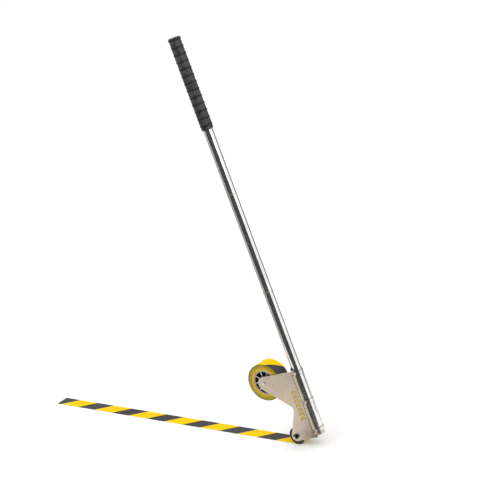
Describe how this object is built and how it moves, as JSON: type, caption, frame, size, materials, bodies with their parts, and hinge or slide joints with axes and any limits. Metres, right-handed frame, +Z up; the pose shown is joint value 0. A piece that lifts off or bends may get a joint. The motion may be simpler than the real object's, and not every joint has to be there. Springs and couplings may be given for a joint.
{
  "type": "line striping machine",
  "caption": "Hand-pushed floor-marking tape applicator: a reel and a rubber press roller between folded steel plates clamped to a sectional pole with a ribbed grip.",
  "frame": {"origin": "the floor contact line under the press roller, midway between the side plates", "axes": "+X is the direction of travel, +Y along the roller axles away from the large side plate, +Z up from the floor"},
  "size_m": [1.0445, 0.0835, 1.2791],
  "materials": {
    "plate_steel": "satin, lightly bead-blasted",
    "tube_steel": "polished",
    "fastener_steel": "bright zinc",
    "black_steel": "black oxide",
    "turned_steel": "fine turned",
    "grip_rubber": "moulded, semi-matt",
    "tyre_rubber": "ground, matt",
    "core_plastic": "moulded",
    "hub_plastic": "moulded",
    "bush_bronze": "machined",
    "felt": "felt",
    "cardboard": "wound paper",
    "tape_roll": "wound film",
    "tape_film": "printed film, yellow and black"
  },
  "bodies": {
    "pole_and_plates": {"front_side_plate": "plate_steel", "rear_side_plate": "plate_steel", "plate_spacer": "turned_steel", "plate_spacer_screw": "fastener_steel", "clamp_straps_outer": "plate_steel", "clamp_straps_inner": "plate_steel", "clamp_screws": "fastener_steel", "clamp_nuts": "fastener_steel", "pole_tube_lower": "tube_steel", "pole_tube_middle": "tube_steel", "pole_tube_upper": "tube_steel", "pole_joint_socket_low": "turned_steel", "pole_joint_socket_high": "turned_steel", "pole_joint_stud_low": "turned_steel", "pole_joint_stud_high": "turned_steel", "pole_end_plug": "plate_steel", "handle_grip": "grip_rubber", "roller_spacers": "fastener_steel", "roller_axle": "fastener_steel", "roller_axle_nut": "black_steel", "reel_axle": "turned_steel", "reel_axle_screw": "fastener_steel", "reel_friction_washer": "felt", "reel_thrust_washer": "fastener_steel", "reel_disc_springs": "fastener_steel", "reel_thumb_nut": "black_steel", "guide_washers": "fastener_steel", "guide_pin": "turned_steel", "guide_pin_nut": "fastener_steel", "tape_web": "tape_film", "laid_tape": "tape_film"},
    "press_roller": {"roller_tyre": "tyre_rubber", "roller_core": "core_plastic", "roller_bushes": "bush_bronze"},
    "tape_reel": {"reel_hub": "hub_plastic", "reel_bushes": "bush_bronze", "tape_core": "cardboard", "tape_roll": "tape_roll"},
    "guide_roller": {"guide_roller_sleeve": "turned_steel", "guide_bushes": "bush_bronze"}
  },
  "joints": [
    {"name": "reel_spin", "type": "hinge", "parent": "pole_and_plates", "child": "tape_reel", "pos_m": [-0.09789, 0, 0.19371], "axis": [0, 1, 0], "continuous": true},
    {"name": "press_roller_spin", "type": "hinge", "parent": "pole_and_plates", "child": "press_roller", "pos_m": [0, 0, 0.02855], "axis": [0, 1, 0], "continuous": true},
    {"name": "guide_roller_spin", "type": "hinge", "parent": "pole_and_plates", "child": "guide_roller", "pos_m": [-0.01168, 0, 0.20746], "axis": [0, 1, 0], "continuous": true}
  ],
  "couplings": [
    {"joint": "press_roller_spin", "follows": "reel_spin", "ratio": -2.1429},
    {"joint": "guide_roller_spin", "follows": "reel_spin", "ratio": -6.6667}
  ]
}
